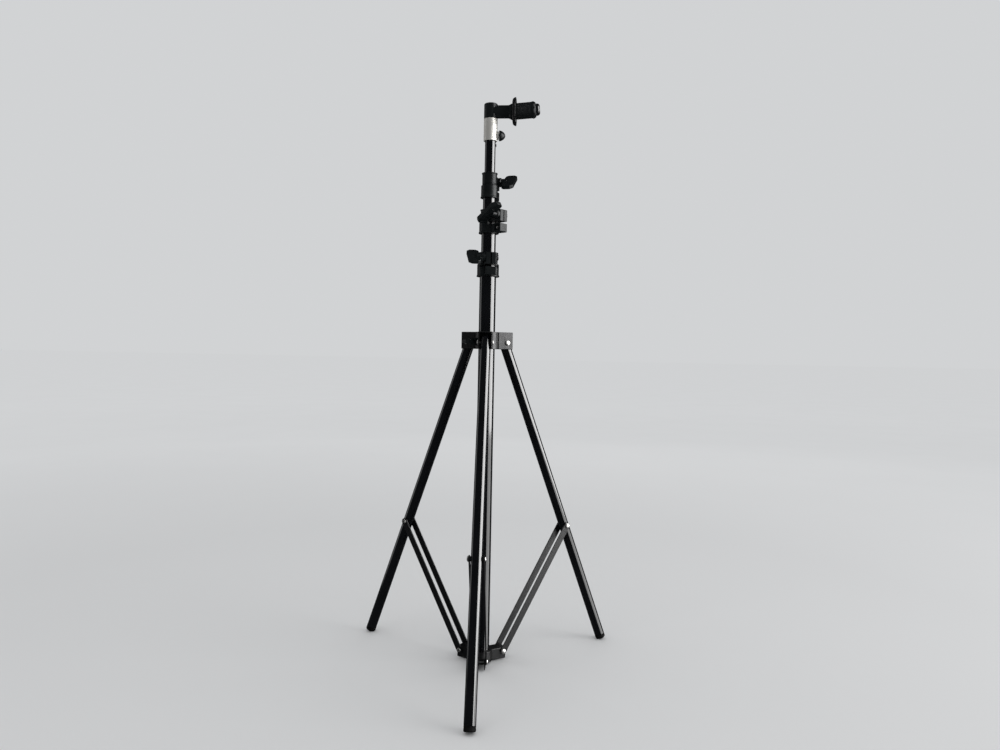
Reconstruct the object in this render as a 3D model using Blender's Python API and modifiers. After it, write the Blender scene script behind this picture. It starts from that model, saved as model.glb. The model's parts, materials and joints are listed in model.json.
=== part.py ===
"""Folding three-leg light stand with telescopic column and a sprung holder head.

Metres, +Z up.  The origin is on the column's axis, on the floor.  The front leg
points along -Y.  Azimuths turn from the front leg towards +X.
"""
import math

import bmesh
import bpy
from mathutils import Matrix, Vector

GAP = 0.0003                 # clearance between neighbouring pieces
WALL = 0.001                 # wall of every column tube

# Column tubes, outer radii from the base section to the top section
R_BASE = 0.0125
R_LOWER = 0.0110
R_UPPER = 0.0095
R_TOP = 0.0080
SECTION_LENGTH = 0.550
TOP_TUBE_END = 0.8260

# Collars: bottom and top heights
LOWER_COLLAR = (0.5927, 0.6292)
MIDDLE_COLLAR = (0.6579, 0.6938)
UPPER_COLLAR = (0.7115, 0.7492)
SOCKET_DEPTH = 0.0165        # how far a tube's top stands up inside its collar

# Folding linkage
LEG_AZIMUTHS = {"front": 0.0, "right": 120.0, "left": -120.0}
CROWN_PIVOT_R = 0.0305
CROWN_PIVOT_Z = 0.4927
FOOT_R = 0.2261              # where a leg's axis meets the floor
BRACE_PIVOT_Z = 0.1998
SPIDER_PIVOT_R = 0.0337
SPIDER_PIVOT_Z = 0.0133
LEG_RADIUS = 0.0080
LEG_TOP = 0.0080             # tube above the crown pivot
LEAN = math.atan((FOOT_R - CROWN_PIVOT_R) / CROWN_PIVOT_Z)
LEG_UPPER = (CROWN_PIVOT_Z - BRACE_PIVOT_Z) / math.cos(LEAN)
BRACE_PIVOT_R = CROWN_PIVOT_R + LEG_UPPER * math.sin(LEAN)
BRACE_LEAN = math.atan((BRACE_PIVOT_R - SPIDER_PIVOT_R) / (BRACE_PIVOT_Z - SPIDER_PIVOT_Z))
BRACE_LENGTH = (BRACE_PIVOT_Z - SPIDER_PIVOT_Z) / math.cos(BRACE_LEAN)

# Foot cap, flush with the leg, with a plug inside it
CAP_R = 0.0082
CAP_ROUND = 0.0010
CAP_LENGTH = 0.0070
CAP_PLUG = 0.0120
CAP_END_Z = (CAP_R - CAP_ROUND) * math.sin(LEAN) + CAP_ROUND * (1.0 - math.cos(LEAN))
LEG_LOWER = (BRACE_PIVOT_Z - CAP_END_Z) / math.cos(LEAN)

# Brace bars and rivets
BAR_WIDTH = 0.0100
BAR_THICK = 0.0016
BAR_INNER = 0.0092           # inner face of a bar, from the leg's middle plane
BAR_OUTER = BAR_INNER + BAR_THICK
RIVET_R = 0.0020
HOLE_R = RIVET_R + GAP
BUSH_R = 0.0036              # bush through the leg at the brace pivot
PLAY_R = 0.0036              # hole at the leg's top, loose on its rivet

# Crown and spider castings
CROWN_BOTTOM = 0.4830
CROWN_TOP = 0.5090
CROWN_BORE = 0.0138
CROWN_HUB = 0.0175
CROWN_ARM_R = 0.0400
CROWN_ARM_HALF = 0.0105
CROWN_PLATE = 0.0014
SPIDER_BOTTOM = 0.0020
SPIDER_TOP = 0.0190
SPIDER_HUB = 0.0165
SPIDER_ARM_R = 0.0385
SPIDER_ARM_HALF = 0.0089
SPIDER_PLATE = 0.0018

# Collar ears and wing knobs
EAR_REACH = 0.0300
EAR_HALF = 0.0082
EAR_DROP = 0.0020            # ear's top below the collar's top
EAR_SPLIT = 0.0150           # middle of the gap between the ears, above the collar's bottom
EAR_GAP = 0.0036
BOLT_Y = -0.0230
BOLT_R = 0.0025
BOLT_DROP = 0.0092           # bolt axis below the collar's top
SLIT = 0.0020
SCREW_RISE = 0.0072          # lower ear's screw above the collar's bottom

# Crown lock
LOCK_AZIMUTH = -60.0
LOCK_Z = 0.4940

# Head
SLEEVE_BOTTOM = 0.7974
SLEEVE_TOP = 0.8306
SLEEVE_R = 0.0103
HEAD_TOP = 0.8517
ARM_AZIMUTH = 87.0
ARM_Z = 0.8416
NECK_R = 0.0096
ARM_TILT = math.radians(4.5)  # the sprung barrel's axis rises from the neck's
TILT_AT = 0.0340
SLEEVE_KNOB_AZIMUTH = 93.0
SLEEVE_KNOB_Z = 0.8060

ROUND = 20                   # sides of tubes
FINE = 24                    # sides of larger turned pieces
SMALL = 10                   # sides of rivets, screws and holes


def clear_scene():
    for thing in list(bpy.data.objects):
        bpy.data.objects.remove(thing, do_unlink=True)


clear_scene()
PARTS = bpy.data.collections.new("light_stand")
TOOLS = bpy.data.collections.new("cutters")
bpy.context.scene.collection.children.link(PARTS)
bpy.context.scene.collection.children.link(TOOLS)


def material(name, colour, roughness, metallic):
    made = bpy.data.materials.new(name)
    made.use_nodes = True
    shader = made.node_tree.nodes["Principled BSDF"]
    shader.inputs["Base Color"].default_value = (*colour, 1.0)
    shader.inputs["Roughness"].default_value = roughness
    shader.inputs["Metallic"].default_value = metallic
    made.diffuse_color = (*colour, 1.0)
    return made


def finish_tube():
    return material("gloss_black_tube", (0.012, 0.012, 0.014), 0.22, 0.0)


def finish_plate():
    return material("satin_black_plate", (0.030, 0.031, 0.034), 0.42, 0.0)


def finish_plastic():
    return material("charcoal_plastic", (0.045, 0.055, 0.058), 0.50, 0.0)


def finish_nickel():
    return material("bright_nickel", (0.75, 0.74, 0.72), 0.20, 1.0)


def finish_sleeve():
    return material("satin_aluminium", (0.70, 0.69, 0.67), 0.35, 1.0)


def finish_rubber():
    return material("black_rubber", (0.018, 0.018, 0.018), 0.85, 0.0)


def spin(degrees):
    return Matrix.Rotation(math.radians(degrees), 4, "Z")


def shift(x, y, z):
    return Matrix.Translation(Vector((x, y, z)))


def keep(name, mesh, matrix, look):
    made = bpy.data.objects.new(name, mesh)
    PARTS.objects.link(made)
    made.matrix_world = matrix
    mesh.materials.append(look())
    mesh.shade_smooth()
    mesh.set_sharp_from_angle(angle=math.radians(35.0))
    return made


def tool(name, mesh, matrix):
    made = bpy.data.objects.new(name, mesh)
    TOOLS.objects.link(made)
    made.matrix_world = matrix
    made.hide_render = True
    made.display_type = "WIRE"
    return made


def boolean(target, other, operation):
    step = target.modifiers.new(other.name, "BOOLEAN")
    step.operation = operation
    step.solver = "EXACT"
    step.object = other


def bevel(target, width, segments=1, angle=40.0):
    step = target.modifiers.new("edges", "BEVEL")
    step.width = width
    step.segments = segments
    step.limit_method = "ANGLE"
    step.angle_limit = math.radians(angle)


def profile_mesh(name, points, closed):
    mesh = bpy.data.meshes.new(name)
    verts = [(r, 0.0, z) for r, z in points]
    edges = [(i, i + 1) for i in range(len(verts) - 1)]
    if closed:
        edges.append((len(verts) - 1, 0))
    mesh.from_pydata(verts, edges, [])
    return mesh


def add_screw(made, sides):
    step = made.modifiers.new("turn", "SCREW")
    step.axis = "Z"
    step.angle = math.tau
    step.steps = sides
    step.render_steps = sides
    step.use_merge_vertices = True
    step.merge_threshold = 0.00001
    step.use_smooth_shade = True


def turned(name, points, matrix, look, closed=False, sides=ROUND):
    made = keep(name, profile_mesh(name, points, closed), matrix, look)
    add_screw(made, sides)
    return made


def ring_points(inner, outer, bottom, top):
    return [(outer, top), (outer, bottom), (inner, bottom), (inner, top)]


def arc(centre_r, centre_z, radius, start, end, count):
    points = []
    for i in range(count + 1):
        angle = math.radians(start + (end - start) * i / count)
        points.append((centre_r + radius * math.cos(angle), centre_z + radius * math.sin(angle)))
    return points


def box_mesh(name, boxes):
    """One mesh of boxes given as (centre, size) or (centre, size, matrix)."""
    work = bmesh.new()
    for entry in boxes:
        centre, size = entry[0], entry[1]
        matrix = entry[2] if len(entry) > 2 else Matrix.Identity(4)
        scale = Matrix.Diagonal((size[0], size[1], size[2], 1.0))
        bmesh.ops.create_cube(work, size=1.0, matrix=matrix @ shift(*centre) @ scale)
    mesh = bpy.data.meshes.new(name)
    work.to_mesh(mesh)
    work.free()
    return mesh


def rod_mesh(name, rods, sides=SMALL):
    """One mesh of cylinders given as (matrix, radius, length), axis on local Z."""
    work = bmesh.new()
    for matrix, radius, length in rods:
        bmesh.ops.create_cone(work, cap_ends=True, segments=sides, radius1=radius,
                              radius2=radius, depth=length, matrix=matrix)
    mesh = bpy.data.meshes.new(name)
    work.to_mesh(mesh)
    work.free()
    return mesh


ALONG_X = Matrix.Rotation(math.radians(90.0), 4, "Y")
OUTWARD = Matrix.Rotation(math.radians(90.0), 4, "X")     # local +Z turned to -Y


def joint_empty(name, matrix):
    made = bpy.data.objects.new(name, None)
    PARTS.objects.link(made)
    made.matrix_world = matrix
    made.empty_display_size = 0.01
    bpy.context.view_layer.update()
    return made


def hang(children, parent):
    for child in children:
        world = child.matrix_world.copy()
        child.parent = parent
        child.matrix_parent_inverse = parent.matrix_world.inverted()
        child.matrix_world = world


def tube(name, radius, bottom, top):
    points = ring_points(radius - WALL, radius, bottom, top)
    return turned(name, points, Matrix.Identity(4), finish_tube, closed=True)


def bush(name, bore, outer_bore, bottom):
    """Plastic plug in a tube's lower end that guides it in the tube outside."""
    plug = bore - GAP
    foot = outer_bore - GAP
    points = [(0.0, bottom + 0.010), (plug, bottom + 0.010), (plug, bottom - GAP), (foot, bottom - GAP),
              (foot, bottom - 0.008), (0.0, bottom - 0.008)]
    return turned(name, points, Matrix.Identity(4), finish_plastic)


def collar_ring(name, heights, seat, grip, upper_r, lower_r, place):
    """Stepped ring: wide below, narrower above, with a lip at each end."""
    bottom, top = heights
    step_z = bottom + SOCKET_DEPTH + 0.0010
    waist = bottom + 0.0190
    lip = 0.0008
    points = [(upper_r + lip, top), (upper_r + lip, top - 0.0012), (upper_r, top - 0.0022),
              (upper_r, waist + 0.0008), (lower_r, waist - 0.0004), (lower_r, bottom + 0.0028),
              (lower_r + lip, bottom + 0.0016), (lower_r + lip, bottom),
              (seat, bottom), (seat, step_z), (grip, step_z), (grip, top)]
    return turned(name, points, place, finish_plastic, closed=True, sides=FINE)


def collar_ear(made, label, near, low, high, place):
    name = made.name + label
    inside = near + 0.0010
    box = ((0.0, -(inside + EAR_REACH) / 2.0, (low + high) / 2.0),
           (2.0 * EAR_HALF, EAR_REACH - inside, high - low))
    ear = tool(name, box_mesh(name, [box]), place)
    bevel(ear, 0.0012)
    boolean(made, ear, "UNION")


def cut_box(made, label, box, place):
    name = made.name + label
    boolean(made, tool(name, box_mesh(name, [box]), place), "DIFFERENCE")


def cut_rod(made, label, rod, place, sides=SMALL):
    name = made.name + label
    boolean(made, tool(name, rod_mesh(name, [rod], sides), place), "DIFFERENCE")


def collar_body(name, heights, tube_r, inner_r, upper_r, lower_r, place):
    bottom, top = heights
    seat = tube_r + GAP
    grip = inner_r + GAP
    split = bottom + EAR_SPLIT
    made = collar_ring(name, heights, seat, grip, upper_r, lower_r, place)
    collar_ear(made, "_ear_upper", grip, split, top - EAR_DROP, place)
    collar_ear(made, "_ear_lower", seat, bottom + 0.0006, split, place)
    slit_top = top + 0.0010
    slit = ((0.0, -0.0200, (split + slit_top) / 2.0), (SLIT, 0.0300, slit_top - split))
    cut_box(made, "_slit", slit, place)
    cut_box(made, "_gap", ((0.0, -0.0220, split), (0.0400, 0.0280, EAR_GAP)), place)
    bolt = (shift(0.0, BOLT_Y, top - BOLT_DROP) @ ALONG_X, BOLT_R + GAP, 0.0500)
    cut_rod(made, "_bolt_hole", bolt, place)
    screw_z = bottom + SCREW_RISE
    cut_box(made, "_recess", ((-EAR_HALF, BOLT_Y, screw_z), (0.0070, 0.0096, 0.0094)), place)
    cut_rod(made, "_pin_hole", (shift(-0.0010, BOLT_Y, screw_z) @ ALONG_X, 0.0017, 0.0100), place)
    return made


def collar_screw(name, bottom, place):
    """Countersunk screw head in the square recess of the lower ear."""
    floor_x = EAR_HALF - 0.0035
    head = 0.0024
    points = [(0.0, floor_x + 0.0022), (head - 0.0006, floor_x + 0.0018), (head, floor_x + 0.0010),
              (head, floor_x + GAP), (0.0014, floor_x + GAP), (0.0014, -0.0035), (0.0, -0.0035)]
    seat = place @ shift(0.0, BOLT_Y, bottom + SCREW_RISE) @ Matrix.Rotation(math.radians(-90.0), 4, "Y")
    return turned(name, points, seat, finish_nickel, sides=SMALL)


def wing_outline(name, near, far, root, tip, thickness):
    """Flat wing with slanted ends, drawn as a 2D curve: X is the span, Y runs outward."""
    corner = (far - near) * 0.25
    half = [(root, near), (tip - corner * 0.7, near + corner * 0.15), (tip, near + corner),
            (tip, far - corner), (tip - corner, far)]
    points = half + [(-x, y) for x, y in reversed(half)]
    curve = bpy.data.curves.new(name, "CURVE")
    curve.dimensions = "2D"
    curve.fill_mode = "BOTH"
    curve.extrude = thickness / 2.0
    spline = curve.splines.new("POLY")
    spline.points.add(len(points) - 1)
    for spot, (x, y) in zip(spline.points, points):
        spot.co = (x, y, 0.0, 1.0)
    spline.use_cyclic_u = True
    return curve


def curve_to_mesh(name, curve):
    """Closed mesh made from a curve, with its caps welded."""
    made = bpy.data.objects.new(name + "_curve", curve)
    TOOLS.objects.link(made)
    graph = bpy.context.evaluated_depsgraph_get()
    mesh = bpy.data.meshes.new_from_object(made.evaluated_get(graph))
    mesh.name = name
    work = bmesh.new()
    work.from_mesh(mesh)
    bmesh.ops.remove_doubles(work, verts=work.verts, dist=0.00002)
    bmesh.ops.recalc_face_normals(work, faces=work.faces)
    work.to_mesh(mesh)
    work.free()
    bpy.data.objects.remove(made, do_unlink=True)
    return mesh


def wing_knob(name, matrix, boss_r, hub_r, start, near, far, tip, thickness, bore):
    """Knob turned about local Z, from `start` outward, with a wing across it."""
    deep = near - 0.0004
    points = [(0.0, near + 0.0060), (hub_r * 0.8, near + 0.0060), (hub_r, near + 0.0050),
              (hub_r, start + 0.0045), (boss_r - 0.0006, start + 0.0042), (boss_r, start + 0.0036),
              (boss_r, start), (bore, start), (bore, deep), (0.0, deep)]
    made = turned(name, points, matrix, finish_plastic, sides=FINE)
    outline = wing_outline(name + "_wing", near, far, hub_r * 0.9, tip, thickness)
    wing = tool(name + "_wing", curve_to_mesh(name + "_wing", outline), matrix @ OUTWARD)
    bevel(wing, 0.0010)
    boolean(made, wing, "UNION")
    return made


def collar_knob(name, top, tilt, place):
    axis = shift(0.0, BOLT_Y, top - BOLT_DROP) @ Matrix.Rotation(math.radians(-90.0), 4, "Y")
    turn = place @ axis @ spin(90.0 + tilt)
    return wing_knob(name, turn, 0.0070, 0.0056, EAR_HALF + GAP, EAR_HALF + 0.0075,
                     EAR_HALF + 0.0262, 0.0220, 0.0058, BOLT_R + GAP)


def collar_bolt(name, top, place):
    """Bolt through both upper ears, with its head on the far side."""
    head = 0.0048
    far = -(EAR_HALF + GAP)
    tip = EAR_HALF + GAP + 0.0055
    points = [(0.0, tip), (BOLT_R - 0.0004, tip), (BOLT_R, tip - 0.0004), (BOLT_R, far),
              (head, far), (head, far - 0.0024), (head - 0.0012, far - 0.0034), (0.0, far - 0.0034)]
    seat = place @ shift(0.0, BOLT_Y, top - BOLT_DROP) @ Matrix.Rotation(math.radians(-90.0), 4, "Y")
    return turned(name, points, seat, finish_nickel, sides=SMALL)


def collar_set(name, heights, tube_r, inner_r, upper_r, lower_r, azimuth, tilt):
    place = spin(azimuth)
    bottom, top = heights
    pivot = joint_empty(name + "_knob_axis", place @ shift(0.0, BOLT_Y, top - BOLT_DROP) @ ALONG_X)
    collar_body(name, heights, tube_r, inner_r, upper_r, lower_r, place)
    collar_screw(name + "_screw", bottom, place)
    knob = collar_knob(name + "_knob", top, tilt, place)
    bolt = collar_bolt(name + "_bolt", top, place)
    hang([knob, bolt], pivot)


def rivet(name, grip, matrix, radius=0.0042):
    """Rivet along local X: dome on the -X side, hollow rolled tail on the +X side."""
    dome = 0.0024
    tail = 0.0032
    head = [(0.0, grip + dome)]
    for angle in (30.0, 60.0, 85.0):
        bend = math.radians(angle)
        head.append((radius * math.sin(bend), grip + dome * math.cos(bend)))
    points = head + [(radius, grip), (RIVET_R, grip), (RIVET_R, -grip), (tail, -grip),
                     (tail - 0.0008, -grip - 0.0014), (0.0012, -grip - 0.0014), (0.0, -grip + 0.0006)]
    seat = matrix @ Matrix.Rotation(math.radians(-90.0), 4, "Y")
    return turned(name, points, seat, finish_nickel, sides=SMALL)


def casting(name, spec):
    """Hub with three downward-open channel arms.  spec holds the casting's sizes."""
    bottom, top = spec["bottom"], spec["top"]
    hub, bore = spec["hub"], spec["bore"]
    end, half, plate = spec["end"], spec["half"], spec["plate"]
    blank = [(0.0, top), (hub, top), (hub, bottom), (0.0, bottom)]
    made = turned(name, blank, Matrix.Identity(4), finish_plate, sides=FINE)
    start = bore + 0.0010
    middle = (bottom + top) / 2.0
    inner_half = half - plate
    channel_start = hub + 0.0006
    channel_top = top - plate
    drop = 0.0020
    for place_name, azimuth in LEG_AZIMUTHS.items():
        turn = spin(azimuth)
        arm = ((0.0, -(start + end) / 2.0, middle), (2.0 * half, end - start, top - bottom))
        solid = tool(name + "_arm_" + place_name, box_mesh(name + "_arm_" + place_name, [arm]), turn)
        bevel(solid, 0.0008)
        boolean(made, solid, "UNION")
    channels = []
    pockets = []
    holes = []
    for azimuth in LEG_AZIMUTHS.values():
        turn = spin(azimuth)
        length = end + drop - channel_start
        channels.append(((0.0, -(channel_start + end + drop) / 2.0, (channel_top + bottom - drop) / 2.0),
                         (2.0 * inner_half, length, channel_top - bottom + drop), turn))
        for side in (-1.0, 1.0):
            y = -(spec["pocket_start"] + spec["pocket_end"]) / 2.0
            z = (spec["pocket_low"] + spec["pocket_high"]) / 2.0
            pockets.append(((side * half, y, z),
                            (2.0 * spec["pocket_depth"], spec["pocket_end"] - spec["pocket_start"],
                             spec["pocket_high"] - spec["pocket_low"]), turn))
        holes.append((turn @ shift(0.0, -spec["pivot_r"], spec["pivot_z"]) @ ALONG_X, HOLE_R, 0.040))
    boolean(made, tool(name + "_channels", box_mesh(name + "_channels", channels), Matrix.Identity(4)),
            "DIFFERENCE")
    boolean(made, tool(name + "_pockets", box_mesh(name + "_pockets", pockets), Matrix.Identity(4)),
            "DIFFERENCE")
    boolean(made, tool(name + "_holes", rod_mesh(name + "_holes", holes), Matrix.Identity(4)),
            "DIFFERENCE")
    bore_rod = [(shift(0.0, 0.0, middle), bore, 0.060)]
    boolean(made, tool(name + "_bore", rod_mesh(name + "_bore", bore_rod, FINE), Matrix.Identity(4)),
            "DIFFERENCE")
    return made


def crown():
    spec = {"bottom": CROWN_BOTTOM, "top": CROWN_TOP, "hub": CROWN_HUB, "bore": CROWN_BORE,
            "end": CROWN_ARM_R, "half": CROWN_ARM_HALF, "plate": CROWN_PLATE,
            "pivot_r": CROWN_PIVOT_R, "pivot_z": CROWN_PIVOT_Z, "pocket_start": 0.0190,
            "pocket_end": 0.0262, "pocket_low": CROWN_BOTTOM + 0.0022,
            "pocket_high": CROWN_TOP - 0.0068, "pocket_depth": 0.0006}
    made = casting("crown", spec)
    turn = spin(LOCK_AZIMUTH)
    thread = [(turn @ shift(0.0, -0.0150, LOCK_Z) @ OUTWARD, 0.0026 + GAP, 0.0200)]
    boolean(made, tool("crown_lock_hole", rod_mesh("crown_lock_hole", thread), Matrix.Identity(4)),
            "DIFFERENCE")
    return made


def spider():
    spec = {"bottom": SPIDER_BOTTOM, "top": SPIDER_TOP, "hub": SPIDER_HUB, "bore": R_BASE + GAP,
            "end": SPIDER_ARM_R, "half": SPIDER_ARM_HALF, "plate": SPIDER_PLATE,
            "pivot_r": SPIDER_PIVOT_R, "pivot_z": SPIDER_PIVOT_Z, "pocket_start": 0.0185,
            "pocket_end": 0.0285, "pocket_low": SPIDER_BOTTOM + 0.0022,
            "pocket_high": SPIDER_TOP - 0.0024, "pocket_depth": 0.0005}
    return casting("spider_hub", spec)


def crown_lock():
    turn = spin(LOCK_AZIMUTH)
    face = CROWN_HUB + 0.0006
    seat = turn @ shift(0.0, 0.0, LOCK_Z) @ OUTWARD
    knob = wing_knob("crown_lock_knob", seat, 0.0058, 0.0050, face, 0.0235, 0.0385, 0.0100, 0.0060,
                     0.0026 + GAP)
    start = CROWN_BORE + 0.0003
    tip = face + 0.0045
    points = [(0.0, tip), (0.0022, tip), (0.0026, tip - 0.0004), (0.0026, start + 0.0004),
              (0.0022, start), (0.0, start)]
    screw = turned("crown_lock_screw", points, seat, finish_nickel, sides=SMALL)
    pivot = joint_empty("crown_lock_axis", seat)
    hang([knob, screw], pivot)
    return [pivot]


def foot_cap(side, lean):
    low = -LEG_LOWER
    top = low + CAP_LENGTH
    plug = LEG_RADIUS - WALL - GAP
    rounding = arc(CAP_R - CAP_ROUND, low + CAP_ROUND, CAP_ROUND, 0.0, -90.0, 3)
    points = [(0.0, top + CAP_PLUG), (plug, top + CAP_PLUG), (plug, top), (CAP_R, top)]
    points += rounding + [(0.0, low)]
    return turned("foot_cap_" + side, points, lean, finish_rubber)


def leg(side, azimuth):
    place = spin(azimuth) @ shift(0.0, -BRACE_PIVOT_R, BRACE_PIVOT_Z)
    pivot = joint_empty("leg_axis_" + side, place)
    lean = place @ Matrix.Rotation(-LEAN, 4, "X")
    end = CAP_LENGTH + GAP - LEG_LOWER
    top = LEG_UPPER + LEG_TOP
    stem = turned("leg_tube_" + side, ring_points(LEG_RADIUS - WALL, LEG_RADIUS, end, top), lean,
                  finish_tube, closed=True)
    cut_rod(stem, "_bush_hole", (ALONG_X, BUSH_R + GAP, 0.0300), lean)
    cut_rod(stem, "_top_hole", (shift(0.0, 0.0, LEG_UPPER) @ ALONG_X, PLAY_R, 0.0300), lean)
    reach = BAR_INNER - GAP
    spacer = turned("leg_bush_" + side, ring_points(HOLE_R, BUSH_R, -reach, reach), lean @ ALONG_X,
                    finish_plastic, closed=True, sides=SMALL)
    pin = rivet("brace_rivet_" + side, BAR_OUTER + GAP, lean)
    hang([stem, foot_cap(side, lean), spacer, pin], pivot)


def stadium(name, length, width, hole):
    """Flat bar with round ends and a hole at each end, as a 2D curve along Y."""
    curve = bpy.data.curves.new(name, "CURVE")
    curve.dimensions = "2D"
    curve.fill_mode = "BOTH"
    curve.extrude = BAR_THICK / 2.0
    radius = width / 2.0
    outer = []
    for centre, first in ((length, 0.0), (0.0, 180.0)):
        for i in range(7):
            angle = math.radians(first + 180.0 * i / 6.0)
            outer.append((radius * math.cos(angle), centre + radius * math.sin(angle)))
    loops = [outer]
    for centre in (0.0, length):
        ring = []
        for i in range(SMALL):
            angle = math.tau * i / SMALL
            ring.append((hole * math.cos(angle), centre + hole * math.sin(angle)))
        loops.append(ring)
    for loop in loops:
        spline = curve.splines.new("POLY")
        spline.points.add(len(loop) - 1)
        for spot, (x, y) in zip(spline.points, loop):
            spot.co = (x, y, 0.0, 1.0)
        spline.use_cyclic_u = True
    return curve


def brace(side, azimuth):
    place = spin(azimuth) @ shift(0.0, -SPIDER_PIVOT_R, SPIDER_PIVOT_Z)
    pivot = joint_empty("brace_axis_" + side, place)
    lean = place @ Matrix.Rotation(BRACE_LEAN, 4, "X")
    stand_up = Matrix.Rotation(math.radians(90.0), 4, "Z") @ Matrix.Rotation(math.radians(90.0), 4, "X")
    bars = []
    for label, sign in (("a", -1.0), ("b", 1.0)):
        name = "brace_bar_" + side + "_" + label
        mesh = curve_to_mesh(name, stadium(name, BRACE_LENGTH, BAR_WIDTH, HOLE_R + 0.0001))
        offset = shift(sign * (BAR_INNER + BAR_THICK / 2.0), 0.0, 0.0)
        bars.append(keep(name, mesh, lean @ offset @ stand_up, finish_plate))
    hang(bars, pivot)


def end_cap():
    """Plug that closes the column's foot and rests on the floor."""
    plug = R_BASE - WALL - GAP
    rim = R_BASE + 0.0015
    seat = 0.0017
    points = [(0.0, 0.0100), (plug - 0.0008, 0.0100), (plug, 0.0092), (plug, seat), (rim, seat),
              (rim, 0.0006), (rim - 0.0006, 0.0), (0.0, 0.0)]
    return turned("column_end_cap", points, Matrix.Identity(4), finish_rubber)


def spigot():
    bore = R_TOP - WALL - GAP
    top = TOP_TUBE_END + 0.0022
    points = [(0.0, top), (R_TOP - 0.0008, top), (R_TOP, top - 0.0006), (R_TOP, TOP_TUBE_END + GAP),
              (bore, TOP_TUBE_END + GAP), (bore, TOP_TUBE_END - 0.0180), (0.0, TOP_TUBE_END - 0.0180)]
    return turned("column_top_plug", points, Matrix.Identity(4), finish_plastic)


def sleeve():
    bore = R_TOP + 0.0005
    points = [(SLEEVE_R - 0.0004, SLEEVE_TOP), (SLEEVE_R, SLEEVE_TOP - 0.0004),
              (SLEEVE_R, SLEEVE_BOTTOM + 0.0004), (SLEEVE_R - 0.0004, SLEEVE_BOTTOM),
              (bore, SLEEVE_BOTTOM), (bore, SLEEVE_TOP)]
    made = turned("head_sleeve", points, spin(SLEEVE_KNOB_AZIMUTH), finish_sleeve, closed=True, sides=FINE)
    place = spin(SLEEVE_KNOB_AZIMUTH)
    boss = [(shift(0.0, -0.0108, SLEEVE_KNOB_Z) @ OUTWARD, 0.0062, 0.0036)]
    boolean(made, tool("sleeve_boss", rod_mesh("sleeve_boss", boss, ROUND), place), "UNION")
    hole = [(shift(0.0, -0.0120, SLEEVE_KNOB_Z) @ OUTWARD, 0.0023 + GAP, 0.0120)]
    boolean(made, tool("sleeve_hole", rod_mesh("sleeve_hole", hole), place), "DIFFERENCE")
    return made


def sleeve_knob():
    seat = spin(SLEEVE_KNOB_AZIMUTH) @ shift(0.0, 0.0, SLEEVE_KNOB_Z) @ OUTWARD
    face = 0.0126 + GAP
    tip = face + 0.0046
    knob_r = 0.0078
    bore = 0.0023 + GAP
    dome = [(0.0, face + 0.0096), (knob_r * 0.40, face + 0.0090), (knob_r * 0.74, face + 0.0066)]
    points = dome + [(knob_r * 0.95, face + 0.0034), (knob_r, face + 0.0012), (knob_r - 0.0008, face),
                     (bore, face), (bore, tip + GAP), (0.0, tip + GAP)]
    knob = turned("sleeve_knob", points, seat, finish_plastic)
    start = R_TOP + 0.0004
    stem = [(0.0, tip), (0.0019, tip), (0.0023, tip - 0.0004), (0.0023, start), (0.0, start)]
    screw = turned("sleeve_screw", stem, seat, finish_nickel, sides=SMALL)
    pivot = joint_empty("sleeve_knob_axis", seat)
    hang([knob, screw], pivot)
    return pivot


def elbow():
    """Cap over the sleeve with the horizontal neck that carries the claw."""
    place = spin(ARM_AZIMUTH)
    low = SLEEVE_TOP + GAP
    plug = R_TOP
    points = [(0.0, HEAD_TOP), (SLEEVE_R - 0.0012, HEAD_TOP), (SLEEVE_R - 0.0002, HEAD_TOP - 0.0010),
              (SLEEVE_R, low), (plug, low), (plug, low - 0.0022), (0.0, low - 0.0022)]
    made = turned("head_elbow", points, place, finish_plastic, sides=FINE)
    neck = [(0.0, 0.0325), (0.0118, 0.0325), (0.0118, 0.0315), (NECK_R, 0.0275), (NECK_R, 0.0020),
            (0.0, 0.0020)]
    neck_mesh = profile_mesh("neck_shape", neck, False)
    neck_tool = tool("neck_shape", neck_mesh, place @ shift(0.0, 0.0, ARM_Z - 0.0001) @ OUTWARD)
    add_screw(neck_tool, ROUND)
    boolean(made, neck_tool, "UNION")
    hole = [(shift(0.0, -0.0300, ARM_Z) @ OUTWARD, 0.0042, 0.0120)]
    boolean(made, tool("neck_bore", rod_mesh("neck_bore", hole), place), "DIFFERENCE")
    return made


def claw():
    """Dished thin plate whose rim curves towards the barrel."""
    near = 0.0325 + GAP
    thick = 0.0018
    far = near + thick
    outer = [(0.0210, far + 0.0036), (0.0204, far + 0.0014), (0.0186, near + 0.0002), (0.0150, near),
             (0.0046, near), (0.0046, far), (0.0148, far), (0.0178, far + 0.0006), (0.0196, far + 0.0036)]
    place = spin(ARM_AZIMUTH) @ shift(0.0, 0.0, ARM_Z) @ OUTWARD
    return turned("head_claw_plate", outer, place, finish_plate, closed=True, sides=FINE)


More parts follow.
